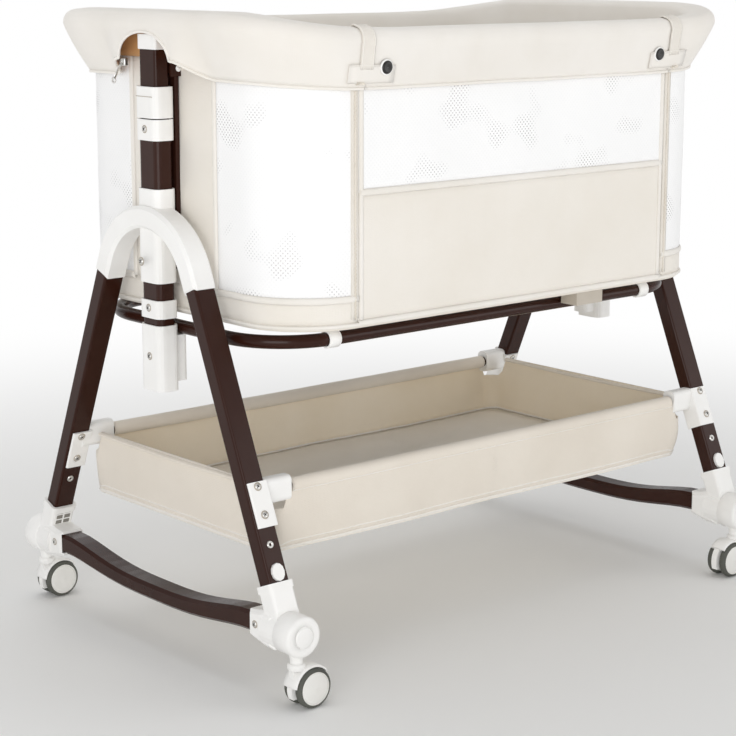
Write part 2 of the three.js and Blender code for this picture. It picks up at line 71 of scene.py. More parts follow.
CRIB_CORNER = 95
CRIB = (crib_high[0], crib_high[1], CRIB_CORNER)  # half length, half width, corner radius
CRIB_FLOOR = crib_low[2]
HEM = 731  # lower edge of the rim cover
RIM_TOP = rim_high[2]
FLARE = rim_high[0] - crib_high[0]
SIDE_FLARE = rim_high[1] - crib_high[1] - 4
FRONT_EDGE = box_mm("drop_panel")[1][0] + 1  # the front's zip lines and the back's seams
END_PANEL = 88  # half width of the plain panel on each end
BAND_TOP = 479  # netting starts above this on the corners
WINDOW = 607  # and above this on the front and back
NOTCH = {"half": 54, "rise": 34, "reach": 104, "offset": 32}  # the arch over each post
ROLL = (13, 14)  # width and height of the rim's rolled edge
WALL_TUCK = 8  # how far the walls run up inside the rim cover
END_RISE = 26  # and how much further they run at the ends, where the arches show them
STRAP_SPAN = {"flap": 229, "snap": 244, "inner": 264, "outer": 284}  # distances from the middle
LEG_PLANE = 410
LEG_TILT = math.radians(22.7)
LEG_FOOT = (-240, 147)  # y and z of a front leg's lower end
CASTER_Y = 281  # from the stand's middle to the middle of a caster
DRUM_BACK = 266.5  # and to the inner face of its pivot drum
POST_X = -(post_low[0] + post_high[0]) / 2
SCREW_Z = {"collar": 676, "ring": 452, "cap": 390}  # screws on the outer faces of each post's parts


# ---- Colours and materials
def rgb(code):
    parts = [int(code[i : i + 2], 16) / 255 for i in (0, 2, 4)]
    return [c / 12.92 if c <= 0.04045 else ((c + 0.055) / 1.055) ** 2.4 for c in parts] + [1]


def grey(value):
    return [value, value, value, 1]


class Nodes:
    """A material's node tree, with short calls for making and joining nodes."""

    def __init__(self, name):
        self.material = bpy.data.materials.new(name)
        self.material.use_nodes = True
        self.tree = self.material.node_tree
        self.shader = self.tree.nodes["Principled BSDF"]
        self.output = self.tree.nodes["Material Output"]

    def add(self, kind, **settings):
        node = self.tree.nodes.new(kind)
        for key, value in settings.items():
            setattr(node, key, value)
        return node

    def join(self, a, b):
        self.tree.links.new(a, b)

    def set(self, **values):
        for key, value in values.items():
            self.shader.inputs[key.replace("_", " ")].default_value = value

    def noise(self, coords, scale, detail=3, roughness=0.55):
        node = self.add("ShaderNodeTexNoise")
        node.inputs["Scale"].default_value = scale
        node.inputs["Detail"].default_value = detail
        node.inputs["Roughness"].default_value = roughness
        self.join(coords, node.inputs["Vector"])
        return node.outputs["Fac"]

    def coords(self, kind="Object"):
        return self.add("ShaderNodeTexCoord").outputs[kind]

    def ramp(self, value, stops):
        node = self.add("ShaderNodeValToRGB")
        elements = node.color_ramp.elements
        while len(elements) < len(stops):
            elements.new(0.5)
        for element, (place, colour) in zip(elements, stops):
            element.position = place
            element.color = colour
        self.join(value, node.inputs["Fac"])
        return node.outputs["Color"]

    def paint(self, value, *stops):
        """Base colour from a value: each stop is a place and a colour code."""
        colours = self.ramp(value, [(place, rgb(code)) for place, code in stops])
        self.join(colours, self.shader.inputs["Base Color"])

    def math(self, operation, a, b=0.5):
        node = self.add("ShaderNodeMath", operation=operation)
        for socket, value in zip(node.inputs, (a, b)):
            if isinstance(value, (int, float)):
                socket.default_value = value
            else:
                self.join(value, socket)
        return node.outputs[0]

    def blend(self, factor, one, other):
        """The surface is one shader where factor is 0 and the other where it is 1."""
        mix = self.add("ShaderNodeMixShader")
        self.join(factor, mix.inputs["Fac"])
        self.join(one, mix.inputs[1])
        self.join(other, mix.inputs[2])
        self.join(mix.outputs["Shader"], self.output.inputs["Surface"])

    def bump(self, height, strength, distance):
        node = self.add("ShaderNodeBump")
        node.inputs["Strength"].default_value = strength
        node.inputs["Distance"].default_value = distance
        self.join(height, node.inputs["Height"])
        self.join(node.outputs["Normal"], self.shader.inputs["Normal"])

    def wave(self, coords, pitch, direction="X"):
        """Parallel ridges, one every pitch metres."""
        node = self.add("ShaderNodeTexWave", bands_direction=direction)
        node.inputs["Scale"].default_value = math.tau / (20 * pitch)
        self.join(coords, node.inputs["Vector"])
        return node.outputs["Fac"]


def fabric(name, base, shade, pitch=0.0016, bump=0.25):
    """Woven cloth: crossed threads, a fine fuzz and a slow change of colour."""
    m = Nodes(name)
    where = m.coords("UV")
    threads = m.math("MAXIMUM", m.wave(where, pitch), m.wave(where, pitch, "Y"))
    fine = m.noise(m.coords(), 260, 2)
    m.paint(m.noise(m.coords(), 7, 4), (0.3, shade), (0.65, base))
    m.bump(m.math("ADD", threads, m.math("MULTIPLY", fine, 0.6)), bump, 0.0004)
    m.set(Roughness=0.92, Sheen_Weight=0.25, Sheen_Roughness=0.5, Specular_IOR_Level=0.2)
    return m.material


def plastic(name, base, shade, rough=0.42, grain=900, bump=0.06):
    """Moulded plastic with a fine spark-eroded grain and faint uneven gloss."""
    m = Nodes(name)
    where = m.coords()
    m.paint(m.noise(where, 12, 3), (0.25, shade), (0.7, base))
    gloss = m.ramp(m.noise(where, 45, 4), [(0.3, grey(rough - 0.06)), (0.7, grey(rough + 0.07))])
    m.join(gloss, m.shader.inputs["Roughness"])
    m.bump(m.noise(where, grain, 2), bump, 0.0003)
    m.set(Specular_IOR_Level=0.45)
    return m.material


def powder_coat(name, base, other):
    """Satin powder coat on steel: orange peel, and a slow change of tone and gloss."""
    m = Nodes(name)
    where = m.coords()
    m.paint(m.noise(where, 16, 4), (0.3, base), (0.75, other))
    m.bump(m.noise(where, 650, 2), 0.06, 0.0002)
    rough = m.ramp(m.noise(where, 60, 3), [(0.3, grey(0.2)), (0.7, grey(0.27))])
    m.join(rough, m.shader.inputs["Roughness"])
    m.set(Specular_IOR_Level=0.16, Coat_Weight=0.08, Coat_Roughness=0.12)
    return m.material


def metal(name, base, rough):
    m = Nodes(name)
    where = m.coords()
    m.paint(m.noise(where, 400, 3), (0.3, base), (0.7, "F4F2EE"))
    m.bump(m.noise(where, 1500, 2), 0.08, 0.0001)
    m.set(Metallic=1.0, Roughness=rough)
    return m.material


def netting(name):
    """Knitted net: solid threads round small diamond holes, open only in soft patches."""
    m = Nodes(name)
    where = m.coords("UV")
    turned = m.add("ShaderNodeMapping")
    turned.inputs["Rotation"].default_value = (0, 0, math.radians(45))
    m.join(where, turned.inputs["Vector"])
    pitch = 0.0042
    across = m.wave(turned.outputs["Vector"], pitch)
    along = m.wave(turned.outputs["Vector"], pitch, "Y")
    hole = m.math("MULTIPLY", across, along)
    thin = m.ramp(m.noise(where, 14, 1), [(0.56, grey(0.03)), (0.66, grey(0.6))])
    dots = m.ramp(hole, [(0.42, grey(0)), (0.7, grey(1))])
    open_part = m.math("MULTIPLY", dots, thin)
    m.paint(m.noise(m.coords(), 9, 3), (0.3, "FAFAFA"), (0.7, "FEFEFE"))
    m.bump(hole, 0.2, 0.0004)
    m.set(Roughness=0.85, Sheen_Weight=0.2, Specular_IOR_Level=0.2)
    clear = m.add("ShaderNodeBsdfTransparent")
    m.blend(open_part, m.shader.outputs["BSDF"], clear.outputs["BSDF"])
    return m.material


CREAM = fabric("cream_cloth", "F1EDE7", "EAE5DD")
PANEL = fabric("panel_cloth", "F2EDE5", "EDE7DD", pitch=0.002, bump=0.35)
PIPING = fabric("piping_cloth", "F4F0EA", "EDE8DF", pitch=0.0012, bump=0.3)
LINING = fabric("tan_lining", "D9A468", "C48E54", pitch=0.0018, bump=0.3)
BASKET = fabric("basket_cloth", "EDE5D9", "E6DDD0", pitch=0.0022, bump=0.45)
# Floor cloth made lighter than the basket cloth: painted light, standing in for light that does not reach
# the basket floor; the crib's underside and the CAD boards use it too.
FLOOR_CLOTH_PAINTED_LIGHT = fabric("floor_cloth_painted_light", "F7F1E7", "EFE8DC", pitch=0.0022, bump=0.4)
QUILT = fabric("mattress_cloth", "F7F3EC", "EDE6DB", pitch=0.003, bump=0.5)
# Lighter, warmer copy of the basket cloth for the inner faces of the basket walls: painted light, standing
# in for light that does not reach inside the basket.
WALL_INSIDE_PAINTED_LIGHT = fabric("basket_wall_inside_painted_light", "FAEFDC", "F3E6CF", pitch=0.0022, bump=0.45)
STRAP = fabric("webbing", "F2EDE5", "E8E1D6", pitch=0.0011, bump=0.6)
NET = netting("white_net")
WHITE = plastic("white_plastic", "FBFAF8", "F3F2EF")
HUB = plastic("hub_plastic", "F1F0EC", "E6E4DF", rough=0.38)
GREY = plastic("warm_grey_plastic", "C4BBAE", "B2A99B", rough=0.5)
BLACK = plastic("black_plastic", "1C1A19", "242120", rough=0.35)
TYRE = plastic("tyre_rubber", "5E5F58", "4B4C46", rough=0.68, grain=500, bump=0.2)
TUBE = powder_coat("brown_powder_coat", "30170F", "361C14")
STEEL = metal("bright_steel", "C9C7C3", 0.28)
# Grey for the insets in the back sockets' rib pockets: painted shade.
PAINTED_POCKET_SHADE = plastic("pocket_shadow", "8F8B84", "7C7972", rough=0.7)
ZIP = plastic("zip_plastic", "EFE9DE", "DDD4C5", rough=0.5)


# ---- Mesh helpers
def piece(name, verts, faces, material, body, uvs=None, smooth=True, parts=None):
    """A mesh from millimetre points. parts gives a material index for each face."""
    mesh = bpy.data.meshes.new(name)
    mesh.from_pydata([tuple(c * MM for c in v) for v in verts], [], faces)
    materials = material if isinstance(material, (list, tuple)) else [material]
    for one in materials:
        mesh.materials.append(one)
    if uvs:
        layer = mesh.uv_layers.new(name="cut")
        for loop in mesh.loops:
            layer.data[loop.index].uv = [c * MM for c in uvs[loop.vertex_index]]
    for i, polygon in enumerate(mesh.polygons):
        polygon.use_smooth = smooth
        if parts:
            polygon.material_index = parts[i]
    mesh.validate()
    obj = bpy.data.objects.new(name, mesh)
    bpy.context.scene.collection.objects.link(obj)
    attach(obj, body)
    return obj


def grid(rows, columns, wrap_rows=False, wrap_columns=False):
    """Quads over rows x columns of points."""
    faces = []
    for i in range(rows if wrap_rows else rows - 1):
        for j in range(columns if wrap_columns else columns - 1):
            i2 = (i + 1) % rows
            j2 = (j + 1) % columns
            faces.append((i * columns + j, i2 * columns + j, i2 * columns + j2, i * columns + j2))
    return faces


def thicken(obj, mm, offset=-1, inner=0):
    modifier = obj.modifiers.new("thickness", "SOLIDIFY")
    modifier.thickness = mm * MM
    modifier.offset = offset
    modifier.material_offset = inner
    modifier.use_even_offset = False
    return obj


def frames_along(points, closed):
    """Centre, side and up vectors along a path, turned as little as can be."""
    path = [Vector(p) for p in points]
    count = len(path)
    found = []
    side = None
    for i, p in enumerate(path):
        before = path[i - 1] if i or closed else path[0]
        after = path[(i + 1) % count] if i < count - 1 or closed else path[-1]
        tangent = (after - before).normalized()
        if side is None:
            side = tangent.cross(Vector((0, 0, 1)))
            if side.length < 0.1:
                side = tangent.cross(Vector((0, 1, 0)))
        side = (side - tangent * side.dot(tangent)).normalized()
        found.append((p, side, side.cross(tangent)))
    return found


def tube(name, points, radius, material, body, closed=False, sides=16, flat=1.0):
    """A round cord or bar along a path; flat squashes its section into an oval."""
    verts = []
    for p, side, up in frames_along(points, closed):
        for k in range(sides):
            angle = math.tau * k / sides
            verts.append(p + side * math.cos(angle) * radius + up * math.sin(angle) * radius * flat)
    faces = grid(len(points), sides, closed, True)
    if not closed:
        last = (len(points) - 1) * sides
        faces += [tuple(range(sides))[::-1], tuple(last + k for k in range(sides))]
    return piece(name, verts, faces, material, body)


def turned(name, profile, centre, axis, material, body, slot, sides=40, parts=None):
    """A lathe-turned piece: profile is (radius, distance along axis), parts a material per step."""
    turn = Vector(axis).normalized().to_track_quat("Z", "Y").to_matrix()
    verts = []
    for radius, along in profile:
        for k in range(sides):
            angle = math.tau * k / sides
            local = Vector((radius * math.cos(angle), radius * math.sin(angle), along))
            verts.append(Vector(centre) + turn @ local)
    faces = grid(len(profile), sides, False, True)
    index = [parts[i // sides] for i in range(len(faces))] if parts else None
    last = (len(profile) - 1) * sides
    faces += [tuple(range(sides))[::-1], tuple(last + k for k in range(sides))]
    faces = [f[::-1] for f in faces]
    if index:
        index += [parts[0], parts[-1]]
    return piece(name, verts, faces, material, body, parts=index)


def rounded_box(name, low, high, radius, material, body):
    xs, ys, zs = zip(low, high)
    verts = [(x, y, z) for x in xs for y in ys for z in zs]
    faces = [(0, 1, 3, 2), (4, 6, 7, 5), (0, 4, 5, 1), (2, 3, 7, 6), (0, 2, 6, 4), (1, 5, 7, 3)]
    obj = piece(name, verts, faces, material, body)
    bevel = obj.modifiers.new("edges", "BEVEL")
    bevel.width = radius * MM
    bevel.segments = 3
    return obj


# ---- Outlines
def around(shape, s):
    """Point and outward normal at arc length s round a rounded rectangle, from the front's middle."""
    half_x, half_y, r = shape
    a = half_x - r
    b = half_y - r
    arc = math.pi * r / 2
    total = 2 * (2 * a + 2 * b + 2 * arc)
    s %= total
    mirrored = s > total / 2
    if mirrored:
        s = total - s
    runs = [
        (a, lambda t: (t, -half_y, 0, -1)),
        (arc, lambda t: corner_point(a, -b, r, -90 + 90 * t / arc)),
        (2 * b, lambda t: (half_x, -b + t, 1, 0)),
        (arc, lambda t: corner_point(a, b, r, 90 * t / arc)),
    ]
    for length, spot in runs:
        if s <= length:
            x, y, nx, ny = spot(s)
            break
        s -= length
    else:
        x, y, nx, ny = a - s, half_y, 0, 1
    return (-x, y, -nx, ny) if mirrored else (x, y, nx, ny)


def corner_point(cx, cy, r, degrees):
    nx = math.cos(math.radians(degrees))
    ny = math.sin(math.radians(degrees))
    return cx + r * nx, cy + r * ny, nx, ny


def perimeter(shape):
    half_x, half_y, r = shape
    return 4 * (half_x + half_y - 2 * r) + math.tau * r


def round_points(shape, count):
    """Evenly spaced points and normals round a rounded rectangle."""
    total = perimeter(shape)
    return [around(shape, total * i / count) for i in range(count)]


def end_station(shape, y):
    """Arc length where the right end's straight reaches y."""
    half_x, half_y, r = shape
    return (half_x - r) + math.pi * r / 2 + (y + half_y - r)


def back_station(shape, x):
    """Arc length where the back's straight reaches x."""
    half_x, half_y, r = shape
    return end_station(shape, half_y - r) + math.pi * r / 2 + (half_x - r - x)


CRIB_ROUND = perimeter(CRIB)
MIRRORED = (("right", lambda s: s), ("left", lambda s: CRIB_ROUND - s))  # the same station on each side


def crease(s, z, size, seed=0.0):
    """A repeatable unevenness of cloth, in millimetres."""
    wide = noise.noise(Vector((s / 90 + seed, z / 60, seed * 3.1)))
    narrow = noise.noise(Vector((s / 34 + seed, z / 80 + s / 200, seed)))
    return size * (0.7 * wide + 0.3 * narrow)


def patch(name, s0, s1, z0, z1, out, material, body, steps=(None, None), thick=1.2):
    """A piece of the crib's wall between two stations and two heights."""
    rows = steps[0] or max(2, round((s1 - s0) / 9) + 1)
    columns = steps[1] or max(2, round((z1 - z0) / 11) + 1)
    verts, uvs = [], []
    for i in range(rows):
        s = s0 + (s1 - s0) * i / (rows - 1)
        x, y, nx, ny = around(CRIB, s)
        for j in range(columns):
            z = z0 + (z1 - z0) * j / (columns - 1)
            u = out(s, z, i / (rows - 1), j / (columns - 1))
            verts.append((x + nx * u, y + ny * u, z))
            uvs.append((s, z))
    return thicken(piece(name, verts, grid(rows, columns), material, body, uvs), thick)


def pulled(size, bulge=0.0, seed=0.0):
    """Outward offset of a cloth panel: a slight bulge, creased, and held at its seams."""
    def out(s, z, u, v):
        free = math.sin(math.pi * u) * math.sin(math.pi * v)
        held = min(1.0, 6 * min(u, 1 - u) + 0.15) * min(1.0, 6 * min(v, 1 - v) + 0.15)
        return bulge * free + crease(s, z, size, seed) * held
    return out


# ---- Crib walls
def crib_walls():
    front = FRONT_EDGE
    panel_near = end_station(CRIB, -END_PANEL)
    panel_far = end_station(CRIB, END_PANEL)
    back = back_station(CRIB, front)
    top = HEM + WALL_TUCK
    end_top = top + END_RISE
    spans = {  # name: first station, last station, lower edge, upper edge, is it netting
        "corner_net_front_right": (front, panel_near, BAND_TOP, end_top, True),
        "corner_net_back_right": (panel_far, back, BAND_TOP, end_top, True),
        "corner_net_front_left": (CRIB_ROUND - panel_near, CRIB_ROUND - front, BAND_TOP, end_top, True),
        "corner_net_back_left": (CRIB_ROUND - back, CRIB_ROUND - panel_far, BAND_TOP, end_top, True),
        "end_panel_right": (panel_near, panel_far, BAND_TOP, end_top, False),
        "end_panel_left": (CRIB_ROUND - panel_far, CRIB_ROUND - panel_near, BAND_TOP, end_top, False),
        "back_panel": (back, CRIB_ROUND - back, BAND_TOP, WINDOW, False),
        "back_net": (back, CRIB_ROUND - back, WINDOW, top, True),
        "wall_band": (front, CRIB_ROUND - front, CRIB_FLOOR + 6, BAND_TOP, False),
    }
    for k, (name, (s0, s1, z0, z1, net)) in enumerate(spans.items()):
        look = pulled(0.6, 0.5, k) if net else pulled(1.6, 2.0, k)
        obj = patch(name, s0, s1, z0, z1, look, NET if net else PANEL, "crib",
                    thick=0.5 if net else 1.4)
        if name == "wall_band":
            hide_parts("crib_shell")
    panel = patch("front_panel", -front, front, CRIB_FLOOR + 6, WINDOW, pulled(2.2, 3.2, 11), PANEL,
                  "drop_side", thick=1.6)
    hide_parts("drop_panel")
    net = patch("front_net", -front, front, WINDOW, top, pulled(0.6, 1.0, 12), NET, "drop_side",
                thick=0.5)
    bindings(front, panel_near, panel_far, back)
    crib_underside()


def strip(name, s0, s1, z0, z1, body, material=None, height=2.2):
    wide = s1 - s0 > z1 - z0
    steps = (None, 5) if wide else (5, None)
    shape = lambda s, z, u, v: 0.4 + height * math.sin(math.pi * (v if wide else u)) ** 0.6
    return patch(name, s0, s1, z0, z1, shape, material or PIPING, body, steps, 0.8)


def bindings(front, near, far, back):
    """Bound seams round the netting, the zips beside the front panel and the panel's piping."""
    half = 4.5
    top = HEM + 6
    for side, at in MIRRORED:
        for name, s in (("end_front", near), ("end_back", far), ("back", back)):
            place = at(s)
            upper = top if name == "back" else top + END_RISE
            strip(f"binding_{name}_{side}", place - half, place + half, BAND_TOP, upper, "crib")
        for name, a, b in (("front", front, near), ("back", far, back)):
            a, b = sorted((at(a), at(b)))
            strip(f"binding_low_{name}_{side}", a, b, BAND_TOP - half, BAND_TOP + half, "crib")
        zip_line(side, at(front + 5), "crib")
        s0, s1 = sorted((at(front - 9) % CRIB_ROUND, at(front - 2) % CRIB_ROUND))
        strip(f"front_side_piping_{side}", s0, s1, CRIB_FLOOR + 10, top, "drop_side", height=1.6)
    strip("back_window_binding", back, CRIB_ROUND - back, WINDOW - half, WINDOW + half, "crib")
    strip("front_window_binding", -front + 3, front - 3, WINDOW - half, WINDOW + half, "drop_side")
    strip("front_lower_piping", -front, front, CRIB_FLOOR + 3, CRIB_FLOOR + 10, "drop_side", height=2.6)


def zip_line(side, s, body):
    """Two tapes with a coil of teeth between them, down the front corner."""
    bottom = CRIB_FLOOR + 12
    top = HEM + 6
    strip(f"zip_tape_{side}", s - 6, s + 6, bottom, top, body, STRAP, height=0.9)
    x, y, nx, ny = around(CRIB, s)
    steps = round((top - bottom) / 2.4)
    points = []
    for i in range(steps + 1):
        z = bottom + (top - bottom) * i / steps
        wobble = 0.7 if i % 2 else -0.7
        points.append((x + nx * 1.9 + wobble, y + ny * 1.9, z))
    tube(f"zip_teeth_{side}", points, 1.0, ZIP, body, sides=6)


def crib_underside():
    """The rounded bottom edge with its piping, and the cloth under the floor."""
    rings = []
    count = 160
    outline = round_points(CRIB, count)
    edge_width = 8
    inset = [(0.0, 6), (0.8, 3), (3, 0.8), (edge_width, 0), (60, -0.5), (150, -0.5)]
    for n, z in inset:
        scale = 1 if n <= edge_width else 1 - n / 400
        step = min(n, edge_width)
        for x, y, nx, ny in outline:
            rings.append(((x - nx * step) * scale, (y - ny * step) * scale, CRIB_FLOOR + z))
    faces = grid(len(inset), count, False, True)
    faces.append(tuple((len(inset) - 1) * count + i for i in range(count)))
    base = piece("crib_underside", rings, faces, FLOOR_CLOTH_PAINTED_LIGHT, "crib",
                 [(v[0], v[1]) for v in rings])
    thicken(base, 1.2, 1)
    edge = []
    steps = 240
    for i in range(steps):
        s = CRIB_ROUND * i / steps
        x, y, nx, ny = around(CRIB, s)
        edge.append((x + nx * 0.6, y + ny * 0.6, CRIB_FLOOR + 5 + crease(s, 0, 0.8, 5)))
    tube("bottom_piping", edge, 2.3, PIPING, "crib", closed=True, sides=10)


# ---- Rim cover
def near_end(s):
    """0 along most of the front and back, rising smoothly to 1 at each end."""
    x, _, _, _ = around(CRIB, s)
    return (abs(x) / CRIB[0]) ** 8


def rim_top(s):
    """The rail's height: it dips along the front and back and rises at both ends."""
    dip, rise = 5, 19
    return RIM_TOP - dip + rise * near_end(s)


def stand_off(s):
    """How far the cover is held away from the wall by the post at each end, from 0 to 1."""
    x, y, _, _ = around(CRIB, s)
    if abs(x) < CRIB[0] - 1:
        return 0
    t = min(max((NOTCH["reach"] - abs(y)) / (NOTCH["reach"] - NOTCH["half"] - 4), 0), 1)
    return t * t * (3 - 2 * t)


def hem_height(s):
    """The cover's lower edge, a little higher at the ends and arched over the posts."""
    x, y, _, _ = around(CRIB, s)
    end_rise, post_rise = 8, 22
    hem = HEM + end_rise * near_end(s) + post_rise * stand_off(s)
    if abs(x) < CRIB[0] - 1 or abs(y) >= NOTCH["half"]:
        return hem
    return hem + NOTCH["rise"] * math.sqrt(1 - (y / NOTCH["half"]) ** 2)


def flare_of(s):
    """Outward reach of the rolled edge: small along the sides, wide round the ends."""
    _, _, nx, _ = around(CRIB, s)
    turn = min(abs(nx) / 0.7, 1)
    return SIDE_FLARE + (FLARE - SIDE_FLARE) * turn * turn * (3 - 2 * turn)


def slope_at(z, s):
    """Outward offset of the cover's slope at a height."""
    t = min(max((z - HEM) / (RIM_TOP - HEM), 0), 1)
    held = NOTCH["offset"] * stand_off(s) * (1 - t)
    hem = 3 + 6 * (1 - flare_of(s) / FLARE)
    return hem + (flare_of(s) - hem) * t + 2.5 * math.sin(math.pi * t) + held


def rim_profile(s):
    """Offsets and heights across the cover, from the outer hem over the top to the inner hem."""
    top = rim_top(s)
    start = math.radians(-30)
    lip = top - ROLL[1] * (1 - math.sin(start))
    hem = min(hem_height(s), lip - 1.5)
    slope = [(slope_at(hem + (lip - hem) * k / 9, s), hem + (lip - hem) * k / 9) for k in range(10)]
    edge, _ = slope[-1]
    across = edge - ROLL[0] * math.cos(start)
    up = lip - ROLL[1] * math.sin(start)
    turn = [start + (math.pi / 2 - start) * k / 8 for k in range(1, 9)]
    roll = [(across + ROLL[0] * math.cos(a), up + ROLL[1] * math.sin(a)) for a in turn]
    width = across + 5
    flat = [(across - width * k / 5, top + 1.2 * math.sin(math.pi * k / 5)) for k in range(1, 5)]
    inner_roll = [(-5.5, top - 3), (-7.5, top - 8)]
    skirt = [(-8, top - 20), (-8, top - 40), (-6, HEM + 14), (-3.5, HEM + 3)]
    return slope + roll + flat + inner_roll + skirt


def rim_stations(s0, s1):
    """Stations every few millimetres, and closer together round the arches."""
    found = []
    s = s0
    while s < s1 - 0.5:
        found.append(s)
        x, y, _, _ = around(CRIB, s)
        at_arch = abs(x) > CRIB[0] - 1 and abs(y) < NOTCH["half"] + 6
        s += 2.0 if at_arch else 8.0
    return found + [s1]


def rim_surface(s, lift=0.0):
    """Points of the creased cover across one station, each with its distance along the cover."""
    x, y, nx, ny = around(CRIB, s)
    profile = rim_profile(s)
    found = []
    run = 0.0
    for j, (n, z) in enumerate(profile):
        if j:
            run += math.dist(profile[j - 1], (n, z))
        loose = crease(s, run, 1.5, 2) * min(1, 0.35 + j / 9)
        on_top = min(max((z - RIM_TOP + 20) / 20, 0), 1)
        out = n + loose + lift * (1 - 0.6 * on_top)
        height = z + 0.5 * crease(s, run, 1.2, 7) + lift * on_top
        found.append((Vector((x + nx * out, y + ny * out, height)), run))
    return found


def rim_cover(name, s0, s1, body, node):
    stations = rim_stations(s0, s1)
    verts, uvs = [], []
    for s in stations:
        for point, run in rim_surface(s):
            verts.append(point)
            uvs.append((s, run))
    columns = len(rim_profile(s0))
    faces = grid(len(stations), columns)
    for first in (0, len(verts) - columns):  # a panel closes each end
        start = len(verts)
        verts += verts[first : first + columns]
        uvs += uvs[first : first + columns]
        closing = tuple(range(start, start + columns))
        faces.append(closing if first else closing[::-1])
    cover = piece(name, verts, faces, [CREAM, LINING], body, uvs)
    thicken(cover, 2.4, -1, inner=1)
    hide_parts(node)
    section = rim_profile(0)
    for edge, j, radius in (("hem", 0, 2.0), ("inner_hem", columns - 1, 1.4)):
        line = [Vector(verts[i * columns + j]) for i in range(len(stations))]
        tube(f"{name}_{edge}_piping", line, radius, PIPING, body, sides=8)


def over_rim(name, s0, s1, rows, lift, material):
    """A strip of cloth that lies over the rim between two stations, along some of its profile."""
    steps = 7
    verts, uvs = [], []
    for k in range(steps):
        s = s0 + (s1 - s0) * k / (steps - 1)
        for point, run in rim_surface(s, lift)[rows]:
            verts.append(point)
            uvs.append((s, run))
    count = len(verts) // steps
    obj = piece(name, verts, grid(steps, count), material, "drop_side", uvs)
    thicken(obj, 1.3, 0)


def arch_linings():
    """The tan cloth that shows behind the post, inside each arch."""
    low, high = HEM + 30, RIM_TOP - 5
    half = 112
    for side, at in MIRRORED:
        s0, s1 = sorted((at(end_station(CRIB, -half)), at(end_station(CRIB, half))))
        leaning = lambda s, z, u, v: 3 + 13 * v
        lining = patch(f"arch_lining_{side}", s0, s1, low, high, leaning, LINING, "crib",
                       thick=0.8)


def straps():
    """At each end of the drop side: a flap with a snap, and a narrow strap from it over the rim."""
    for side, sx in SIDES:
        inner, outer = sorted((sx * STRAP_SPAN["flap"], sx * (FRONT_EDGE + 22)))
        over_rim(f"rim_flap_{side}", inner, outer, slice(1, 6), 2.0, CREAM)
        s0, s1 = sorted((sx * STRAP_SPAN["inner"], sx * STRAP_SPAN["outer"]))
        over_rim(f"rim_strap_{side}", s0, s1, slice(4, -3), 2.2, STRAP)
        for k, s in enumerate((s0 + 1.5, s1 - 1.5)):
            line = [point for point, _ in rim_surface(s, 3.0)[4:-3]]
            tube(f"strap_edge_{side}_{k}", line, 0.6, PIPING, "drop_side", sides=6)
        for k, row in enumerate((1, 5)):
            places = range(round(inner), round(outer) + 1, 5)
            stitch = [rim_surface(s, 2.9)[row][0] for s in places]
            tube(f"flap_stitch_{side}_{k}", stitch, 0.5, PIPING, "drop_side", sides=6)
        snap_z = HEM + 25
        centre = Vector((sx * STRAP_SPAN["snap"], -CRIB[1] - slope_at(snap_z, 0) - 3.0, snap_z))
        ring = [(9.6, -0.5), (9.8, 0.4), (9.0, 1.2), (8.0, 1.3)]
        turned(f"snap_ring_{side}", ring, centre, (0, -1, -0.1), WHITE, "drop_side", "white_plastic", 32)
        cap = [(8.1, 0), (8.1, 1.6), (7.2, 2.7), (4.4, 3.1), (3.4, 2.6), (0.3, 2.6)]
        turned(f"snap_cap_{side}", cap, centre, (0, -1, -0.1), BLACK, "drop_side", "tube", 32)
        stop = [rim_surface(sx * place, 2.5)[1][0] for place in (276, 281, 286)]
        tube(f"zip_stop_{side}", stop, 3.0, ZIP, "drop_side", sides=10, flat=0.6)


# ---- Mattress
def mattress():
    half_x, half_y = mattress_high[0] - 1, mattress_high[1] - 1
    shape = (half_x, half_y, CRIB_CORNER - 10)
    low, high = mattress_low[2], mattress_high[2]
    count = 180
    outline = round_points(shape, count)
    edge = 6
    levels = [(edge, low), (2, low + 3), (0.4, low + 9), (0, (low + high) / 2), (0.4, high - 9),
              (2, high - 3), (edge, high)]
    verts = [(x - nx * inset, y - ny * inset, z) for inset, z in levels for x, y, nx, ny in outline]
    rings = 44
    channel = 92  # across one diamond of the quilting
    for k in range(1, rings + 1):
        t = 1 - k / (rings + 1)
        for x, y, nx, ny in outline:
            px, py = (x - nx * edge) * t, (y - ny * edge) * t
            one = abs(math.cos(math.pi * (px + py) / channel))
            other = abs(math.cos(math.pi * (px - py) / channel))
            puff = 3.2 * (one * other) ** 0.5 - 1.2
            verts.append((px, py, high + puff * min(1, 8 * (1 - t))))
    faces = [face[::-1] for face in grid(len(levels) + rings, count, False, True)]
    last = (len(levels) + rings - 1) * count
    faces.append(tuple(last + i for i in range(count)))
    faces.append(tuple(range(count))[::-1])
    pad = piece("mattress_pad", verts, faces, QUILT, "crib",
                [(x, y + z) for x, y, z in verts])
    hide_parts("mattress")
    for label, z in (("upper", high - 3), ("lower", low + 3)):
        line = [(x - nx * 0.8, y - ny * 0.8, z) for x, y, nx, ny in outline]
        tube(f"mattress_piping_{label}", line, 1.7, PIPING, "crib", closed=True, sides=8)


# ---- Storage basket
BASKET_SHAPE = (basket_high[0] - 4, basket_high[1] - 3, 26)  # half length, half width, corner radius
BASKET_LOW = basket_low[2] + 2
BASKET_HIGH = basket_high[2] - 3
BASKET_GAP = (352, 170, 224)  # the wall stops lower beyond this x and y, at this height
ROUND_STEPS, UP_STEPS = 260, 12


def basket_top(x, y):
    """The wall stops lower at each corner, where a bracket's arm comes through."""
    gap_x, gap_y, gap_z = BASKET_GAP
    along = max(abs(x) - gap_x, 0) / 12
    across = max(abs(y) - gap_y, 0) / 12
    depth = min(along, across, 1)
    return BASKET_HIGH - (BASKET_HIGH - gap_z) * depth * depth * (3 - 2 * depth)


